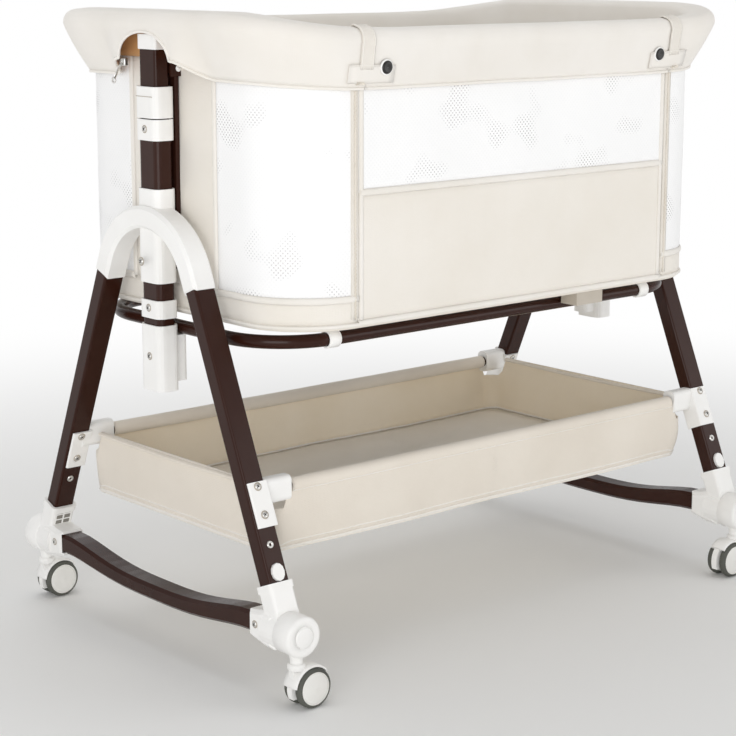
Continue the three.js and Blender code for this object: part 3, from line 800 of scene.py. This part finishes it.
def basket_walls():
    """The slack cloth walls, leaning in towards the floor; returns the piece and its points."""
    total = perimeter(BASKET_SHAPE)
    verts, uvs = [], []
    for i in range(ROUND_STEPS):
        s = total * i / ROUND_STEPS
        x, y, nx, ny = around(BASKET_SHAPE, s)
        top = basket_top(x, y)
        sag = 3.0 * math.sin(math.pi * min(1, abs(x) / BASKET_SHAPE[0])) + crease(s, 0, 1.5, 3)
        for j in range(UP_STEPS):
            v = j / (UP_STEPS - 1)
            z = BASKET_LOW + (top - BASKET_LOW) * v - sag * (1 - v) * 0.6
            lean = -8 * (1 - v) ** 1.3 if abs(ny) > 0.5 else -4 * (1 - v)
            creased = crease(s, z, 3.2, 4) * math.sin(math.pi * min(1, v + 0.15))
            slack = 2.5 * math.sin(math.pi * v) + creased
            n = lean + slack - 1.5
            verts.append((x + nx * n, y + ny * n, z))
            uvs.append((s, z))
    # The inner faces of the walls take the lighter copy of the cloth, as painted light.
    walls = piece("basket_wall", verts, grid(ROUND_STEPS, UP_STEPS, True), [BASKET, WALL_INSIDE_PAINTED_LIGHT],
                  "stand", uvs)
    thicken(walls, 1.6, inner=1)
    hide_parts("basket_shell")
    return walls, verts


def basket_base(rim):
    """The floor: a stiffened cloth that dips in the middle and has a fold on either side."""
    points = []
    rings = 14
    for k in range(rings + 1):
        t = 1 - k / rings * 0.985
        for x, y, z in rim:
            px, py = x * t, y * t
            fold = 2.4 * math.exp(-((abs(px) - 120) / 5) ** 2)
            dip = 4 * (1 - t * t) + fold
            points.append((px, py, z - dip * min(1, 4 * (1 - t)) + crease(px, py, 1.2, 6) * (1 - t)))
    # The floor takes the lightened cloth: painted light.
    floor = piece("basket_base", points, grid(rings + 1, len(rim), False, True), FLOOR_CLOTH_PAINTED_LIGHT, "stand",
                  [(x, y) for x, y, _ in points])
    thicken(floor, 2.2, 1)
    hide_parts("basket_floor")


def basket():
    walls, verts = basket_walls()
    rim = verts[::UP_STEPS]
    basket_base(rim)
    edge = [Vector(v) + Vector((0, 0, 1.5)) for v in rim]
    upper = [Vector(v) + Vector((0, 0, 1)) for v in verts[1::UP_STEPS]]
    tube("basket_bottom_piping", edge, 1.9, PIPING, "stand", closed=True, sides=8)
    tube("basket_second_piping", upper, 1.0, PIPING, "stand", closed=True, sides=6)
    basket_hems()


def basket_hems():
    """The rolled hem along each end, and the sewn tunnel round each tube."""
    gap_x, gap_y, _ = BASKET_GAP
    for side, sx in SIDES:
        x = sx * (BASKET_SHAPE[0] - 1.5)
        rows = []
        steps = 60
        for i in range(steps + 1):
            y = -gap_y + 2 * gap_y * i / steps
            rows.append((x, y, BASKET_HIGH - 3 - 2.2 * math.cos(y / gap_y * 1.5) + crease(y, 0, 1, 8)))
        tube(f"basket_end_hem_{side}", rows, 5.2, BASKET, "stand", sides=14, flat=0.55)
    z = (tube_low[2] + tube_high[2]) / 2
    for end, sy in ENDS:
        y = sy * abs((tube_low[1] + tube_high[1]) / 2)
        rows = []
        steps = 120
        for i in range(steps + 1):
            x = -gap_x + 2 * gap_x * i / steps
            rows.append((x, y + sy * 1.5, z + 0.5 * crease(x, 0, 1, 9)))
        tube(f"basket_tunnel_{end}", rows, 9.4, BASKET, "stand", sides=20)
        stitch = [(x, yy + sy * 8.2, zz - 5) for x, yy, zz in rows]
        tube(f"basket_stitch_{end}", stitch, 0.7, PIPING, "stand", sides=6)


# ---- Stand details
def loop():
    """The bar between the arches, and the clips that hang it under the crib."""
    shape = (loop_high[0] - 9, loop_high[1] - 9, 90)
    z = (loop_low[2] + loop_high[2]) / 2
    line = [(x, y, z) for x, y, _, _ in round_points(shape, 200)]
    bar = tube("stretcher_loop", line, 8.6, TUBE, "stand", closed=True, sides=24)
    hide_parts("loop_frame")
    clip_x = 283
    sleeve = [(9.0, -9), (10.6, -9), (11.4, -8), (11.4, 8), (10.6, 9), (9.0, 9)]
    for end, sy in ENDS:
        for side, sx in SIDES:
            x = sx * clip_x
            y = sy * shape[1]
            turned(f"loop_clip_{end}_{side}", sleeve, (x, y, z), (1, 0, 0), WHITE, "stand", "white_plastic")
            low, high = (x - 7, y - 2.2, z + 8), (x + 7, y + 2.2, CRIB_FLOOR - 1)
            rounded_box(f"loop_tab_{end}_{side}", low, high, 1, WHITE, "stand")


def screw(name, centre, axis, body, radius=4.2):
    """A round-headed cross screw in a shallow recess; the grey ring round the head and the black cross slot
    are painted shade of the recesses.
    """
    recess = [(radius + 1.3, -0.5), (radius + 1.3, 0.35), (radius, 0.4)]
    turned(f"{name}_recess", recess, centre, axis, GREY, body, "tube", 24)
    head = [(radius, -0.5), (radius, 0.6), (radius * 0.85, 1.3), (radius * 0.5, 1.6), (0.3, 1.7)]
    turned(name, head, centre, axis, STEEL, body, "tube", 24)
    out = Vector(axis).normalized()
    side = out.orthogonal().normalized()
    # The cross slot is drawn as raised black bars: painted shade of the recess in the steel head.
    for k in range(2):
        across = side if k == 0 else out.cross(side)
        middle = Vector(centre) + out * 1.55
        line = [middle - across * radius * 0.55, middle, middle + across * radius * 0.55]
        tube(f"{name}_slot_{k}", line, 0.55, BLACK, body, sides=6)


def on_leg(sx, sy, x, y, z):
    """A point in leg coordinates (x outward from the leg plane, y to the middle, z up the leg)."""
    cos, sin = math.cos(LEG_TILT), math.sin(LEG_TILT)
    depth = LEG_FOOT[0] + y * cos + z * sin
    return (sx * (LEG_PLANE + x), -sy * depth, LEG_FOOT[1] - y * sin + z * cos)


def leg_face(sy):
    """Normal of the leg face that looks to -Y, which is the outer face in front, the inner behind."""
    cos, sin = math.cos(LEG_TILT), math.sin(LEG_TILT)
    return (0, -cos, sin if sy < 0 else -sin)


def fasteners():
    for place, sx, sy in CORNERS:
        leg_fasteners(place, sx, sy)
    for side, sx in SIDES:
        post_fasteners(side, sx)
        gussets(side, sx)


def leg_fasteners(place, sx, sy):
    """Screws through the basket's bracket, the round pin in the leg and the screw in the foot."""
    face_y = -11 if sy < 0 else 11
    plate = -3.4 if sy < 0 else 3.4
    normal = leg_face(sy)
    for k, z in enumerate((82, 117)):
        screw(f"bracket_screw_{place}_{k}", on_leg(sx, sy, -1, face_y + plate, z), normal, "stand", 4.0)
    pin = [(4.6, -0.4), (4.6, 0.8), (3.6, 1.4), (2.2, 1.2), (1.9, -0.3), (0.3, -0.3)]
    turned(f"leg_pin_{place}", pin, on_leg(sx, sy, 0, face_y, 46), normal, STEEL, "stand", "tube", 28)
    screw(f"foot_screw_{place}", (sx * (LEG_PLANE + 19.6), sy * 226, 96), (sx, 0, 0), "stand", 3.6)


def post_fasteners(side, sx):
    """Screws on the outer faces of the post's parts, and the line across the release handle."""
    face = POST_X + (collar_high[0] - collar_low[0]) / 2
    for label, z in SCREW_Z.items():
        screw(f"{label}_screw_{side}", (sx * face, 0, z), (sx, 0, 0), "stand", 3.8)
    screw(f"arch_screw_{side}", (sx * (POST_X + 25.5), 0, 512), (sx, 0, 0), "stand", 4.2)
    groove = [(sx * (face + 0.05), y, 716) for y in range(-17, 18, 2)]
    tube(f"handle_groove_{side}", groove, 0.5, GREY, f"handle_{side}", sides=6)


def gussets(side, sx):
    """A riveted steel plate on each side of the inner post, which holds the crib's top frame."""
    outline = [(393, 778), (386, 780), (378, 772), (373, 758), (377, 740), (393, 740)]
    count = len(outline)
    inner, outer = 18.6, 21
    rivet = [(4.2, -0.5), (4.2, 0.6), (3.0, 1.6), (0.3, 1.9)]
    for end, sy in ENDS:
        verts = [(sx * x, sy * y, z) for y in (inner, outer) for x, z in outline]
        faces = [tuple(range(count)), tuple(range(count, 2 * count))[::-1]]
        for i in range(count):
            j = (i + 1) % count
            faces.append((i, count + i, count + j, j))
        if sx * sy > 0:
            faces = [face[::-1] for face in faces]
        piece(f"gusset_{side}_{end}", verts, faces, TUBE, "crib", smooth=False)
        for k, (x, z) in enumerate(((389, 760), (381, 750))):
            turned(f"rivet_{side}_{k}_{end}", rivet, (sx * x, sy * outer, z), (0, sy, 0), WHITE, "crib",
                   "tube", 20)


def casters():
    radius = (wheel_high[2] - wheel_low[2]) / 2
    half = (wheel_high[1] - wheel_low[1]) / 2
    for place, sx, sy in CORNERS:
        low, high = box_mm(f"twin_wheel_{place}")
        centre = [(a + b) / 2 for a, b in zip(low, high)]
        tyre = [(20, 5.6), (22.5, 6), (24.2, 7), (radius, 9), (radius, half - 4), (24.2, half - 1.6),
                (22.4, half - 0.2), (20.6, half)]
        hub = [(20.2, half - 1.2), (19.7, half - 1.2), (19.2, half - 0.3), (17.5, half + 0.2),
               (9, half + 0.5), (0.2, half + 0.6)]
        parts = [1] + [0] * (len(tyre) - 1) + [1] * len(hub)
        for k, turn in enumerate((-1, 1)):
            turned(f"wheel_{place}_{k}", [(3.6, 5.6)] + tyre + hub, centre, (0, turn, 0),
                                 [TYRE, HUB], f"wheels_{place}", "tyre", 48, parts)
        axle = [(3.3, -6.5), (3.3, 6.5)]
        turned(f"axle_{place}", axle, centre, (0, 1, 0), STEEL, f"wheels_{place}", "tyre", 20)
        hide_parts(f"twin_wheel_{place}")
        drum(place, sx, sy)
        caster_hood(place, sx, sy, centre, radius)


def drum(place, sx, sy):
    """The flip-up pivot drum: turned rim, raised cap and the neck that holds the caster."""
    low, high = box_mm(f"caster_drum_{place}")
    face = max(abs(low[1]), abs(high[1])) - 1.6
    back = DRUM_BACK
    r = (high[0] - low[0]) / 2
    z = high[2] - r
    side = [(5, back - 6), (5, back), (r - 0.6, back), (r, back + 0.8), (r, face - 4),
            (r - 0.8, face - 1.6), (r - 2.8, face - 0.3), (r - 4.5, face)]
    cap = [(14.2, face + 0.2), (13.9, face - 1.0), (13.0, face - 1.0), (12.6, face + 0.9),
           (11.4, face + 1.5), (4, face + 1.6), (0.2, face + 1.6)]
    body = turned(f"drum_{place}", side + cap, (sx * LEG_PLANE, 0, z), (0, sy, 0), WHITE,
                  f"drum_{place}", "white_plastic", 56)
    neck = [(8, -36), (8, -30), (9.5, -25), (11, -20)]
    turned(f"drum_neck_{place}", neck, (sx * LEG_PLANE, sy * CASTER_Y, z), (0, 0, 1), WHITE,
           f"drum_{place}", "white_plastic", 32)
    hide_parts(f"caster_drum_{place}")


def caster_hood(place, sx, sy, centre, radius):
    """The housing between and over the two wheels, with its swivel stem."""
    inner, outer = radius + 0.9, radius + 3.4
    steps = 26
    start, sweep = 8, 132  # degrees, from level on the outer side to past the top
    x0, y0, z0 = centre
    verts = []
    y_steps = [-12.5, -11.5, -5, 0, 5, 11.5, 12.5]
    for i in range(steps + 1):
        angle = math.radians(start + sweep * i / steps)
        cos, sin = math.cos(angle), math.sin(angle)
        for y in y_steps:
            edge = 1.4 if abs(y) > 12 else 0
            r = outer - edge + 0.5 * math.cos(y / 8)
            verts.append((x0 + sx * cos * r, y0 + y, z0 + sin * r))
        for y in y_steps[::-1]:
            verts.append((x0 + sx * cos * inner, y0 + y, z0 + sin * inner))
    ring = 2 * len(y_steps)
    faces = grid(steps + 1, ring, False, True)
    last = steps * ring
    faces += [tuple(range(ring))[::-1], tuple(last + k for k in range(ring))]
    if sx < 0:
        faces = [f[::-1] for f in faces]
    piece(f"caster_hood_{place}", verts, faces, WHITE, f"fork_{place}")
    stem = [(10, -8), (10.8, -7), (11.2, -2.5), (10.4, -0.6), (9.2, 0)]
    turned(f"caster_stem_{place}", stem, (sx * LEG_PLANE, sy * CASTER_Y, 57.6), (0, 0, 1), WHITE,
           f"fork_{place}", "white_plastic", 32)


def socket_ribs():
    """Dark grey insets on the inner face of each back socket, where its ribbed pockets are: painted shade
    of the pockets.
    """
    faces = [(0, 1, 2, 3), (7, 6, 5, 4)] + [(i, i + 4, (i + 1) % 4 + 4, (i + 1) % 4) for i in range(4)]
    for place, sx, sy in CORNERS:
        if sy < 0:
            continue
        normal = Vector(leg_face(sy))
        up = Vector(on_leg(sx, sy, 0, 0, 1)) - Vector(on_leg(sx, sy, 0, 0, 0))
        across = Vector((1, 0, 0))
        corner = Vector(on_leg(sx, sy, 0, 13.8, -25))
        for k in range(3):
            for label, side in (("a", -1), ("b", 1)):
                middle = corner + up * (1 + 8.2 * k) + across * side * 6
                ring = [middle + across * dx * 4.6 + up * dz * 3 + normal * 0.35
                        for dx, dz in ((-1, -1), (1, -1), (1, 1), (-1, 1))]
                floor = [p - normal * 0.2 for p in ring]
                piece(f"rib_pocket_{place}_{k}_{label}", ring + floor, faces, PAINTED_POCKET_SHADE, "stand",
                      smooth=False)


def zip_sliders():
    """A slider with its pull and ring, at one foot of each arch."""
    for side, sx in SIDES:
        x = sx * (CRIB[0] + 36)
        y = 50 if sx < 0 else -50
        rounded_box(f"zip_slider_{side}", (x - 3, y - 5, HEM + 20), (x + 3, y + 5, HEM + 30), 1.5, STEEL,
                    "crib")
        line = [(x + sx * 3, y, HEM + 24), (x + sx * 5, y + 6, HEM + 17), (x + sx * 5, y + 15, HEM + 5)]
        tube(f"zip_pull_{side}", line, 2.6, STEEL, "crib", sides=12, flat=0.4)
        ring = [(x + sx * 5, y + 17 + 3.4 * math.cos(a), HEM + 2 + 3.4 * math.sin(a))
                for a in (math.tau * k / 20 for k in range(20))]
        tube(f"zip_ring_{side}", ring, 1.0, STEEL, "crib", closed=True, sides=8)


def dress_cad():
    """Materials, softened edges and smooth shading for the CAD solids that stay in view."""
    looks = {"white_plastic": WHITE, "tube": TUBE, "tyre": TYRE, "grey_plastic": GREY,
             "board": FLOOR_CLOTH_PAINTED_LIGHT, "cream_fabric": CREAM, "basket_fabric": BASKET}
    slots = {part["node"]: part["material_slot"] for part in frame["record"]["subparts"]}
    for name, obj in frame["nodes"].items():
        obj.data.materials.clear()
        obj.data.materials.append(looks[slots[name]])
        for polygon in obj.data.polygons:
            polygon.use_smooth = True
        obj.data.set_sharp_from_angle(angle=math.radians(38))
        if slots[name] in ("white_plastic", "grey_plastic") or name.startswith("rocker"):
            bevel = obj.modifiers.new("edges", "BEVEL")
            bevel.width = (2.2 if name.startswith("rocker") else 0.9) * MM
            bevel.segments = 3
            bevel.limit_method = "ANGLE"
            bevel.angle_limit = math.radians(40)


# ---- Camera, floor and light
def studio():
    camera = bpy.data.objects.new("camera", bpy.data.cameras.new("camera"))
    bpy.context.scene.collection.objects.link(camera)
    tilt, heading = 78.178, -40.716  # degrees up from straight down, and from looking along +Y
    camera.location = (-1.8021, -2.0301, 0.8855)
    camera.rotation_euler = (math.radians(tilt), 0, math.radians(heading))
    camera.data.lens = 96.33
    camera.data.sensor_width = 36
    bpy.context.scene.camera = camera
    floor_and_world()
    lights = {  # place, watts, width in metres
        "top": ((0.1, 0.3, 2.8), 14, 2.2),
        "front_left": ((-2.7, -2.1, 0.7), 44, 2.0),
        "front_right": ((2.3, -2.9, 0.8), 26, 2.2),
        "back": ((0.4, 3.0, 1.6), 14, 2.4),
    }
    aim = Vector((0, 0, 0.4))
    for name, (place, power, width) in lights.items():
        lamp = bpy.data.lights.new(name, "AREA")
        lamp.energy = power
        lamp.size = width
        light = bpy.data.objects.new(name, lamp)
        light.location = place
        light.rotation_euler = (aim - Vector(place)).to_track_quat("-Z", "Y").to_euler()
        bpy.context.scene.collection.objects.link(light)


def floor_and_world():
    """A matt floor that turns to plain white away from the object, like a curved studio backdrop."""
    size = 60
    corners = [(-size, -size, 0), (size, -size, 0), (size, size, 0), (-size, size, 0)]
    mesh = bpy.data.meshes.new("floor")
    mesh.from_pydata(corners, [], [(0, 1, 2, 3)])
    ground = bpy.data.objects.new("floor", mesh)
    bpy.context.scene.collection.objects.link(ground)
    m = Nodes("pale_floor")
    m.set(Base_Color=rgb("F4F4F3"), Roughness=0.9, Specular_IOR_Level=0.1)
    distance = m.add("ShaderNodeVectorMath", operation="LENGTH")
    m.join(m.coords(), distance.inputs[0])
    away = m.add("ShaderNodeMapRange", interpolation_type="SMOOTHSTEP")
    away.inputs["From Min"].default_value = 0.6
    away.inputs["From Max"].default_value = 2.2
    m.join(distance.outputs["Value"], away.inputs["Value"])
    glow = m.add("ShaderNodeEmission")
    m.blend(away.outputs["Result"], m.shader.outputs["BSDF"], glow.outputs["Emission"])
    mesh.materials.append(m.material)
    world = bpy.data.worlds.new("studio")
    world.use_nodes = True
    tree = world.node_tree
    lit = tree.nodes["Background"]
    lit.inputs["Color"].default_value = grey(1)
    lit.inputs["Strength"].default_value = 0.5
    seen = tree.nodes.new("ShaderNodeBackground")
    seen.inputs["Color"].default_value = grey(1)
    rays = tree.nodes.new("ShaderNodeLightPath")
    both = tree.nodes.new("ShaderNodeMixShader")
    tree.links.new(rays.outputs["Is Camera Ray"], both.inputs["Fac"])
    tree.links.new(lit.outputs["Background"], both.inputs[1])
    tree.links.new(seen.outputs["Background"], both.inputs[2])
    tree.links.new(both.outputs["Shader"], tree.nodes["World Output"].inputs["Surface"])
    bpy.context.scene.world = world
    bpy.context.scene.view_settings.view_transform = "Standard"


# ---- Building
studio()
dress_cad()
crib_walls()
split = FRONT_EDGE - 3
rim_cover("rim_cover_main", split, CRIB_ROUND - split, "crib", "rim_cover_fixed")
rim_cover("rim_cover_front", -split + 1, split - 1, "drop_side", "rim_cover_drop")
arch_linings()
straps()
mattress()
basket()
loop()
casters()
fasteners()
socket_ribs()
zip_sliders()
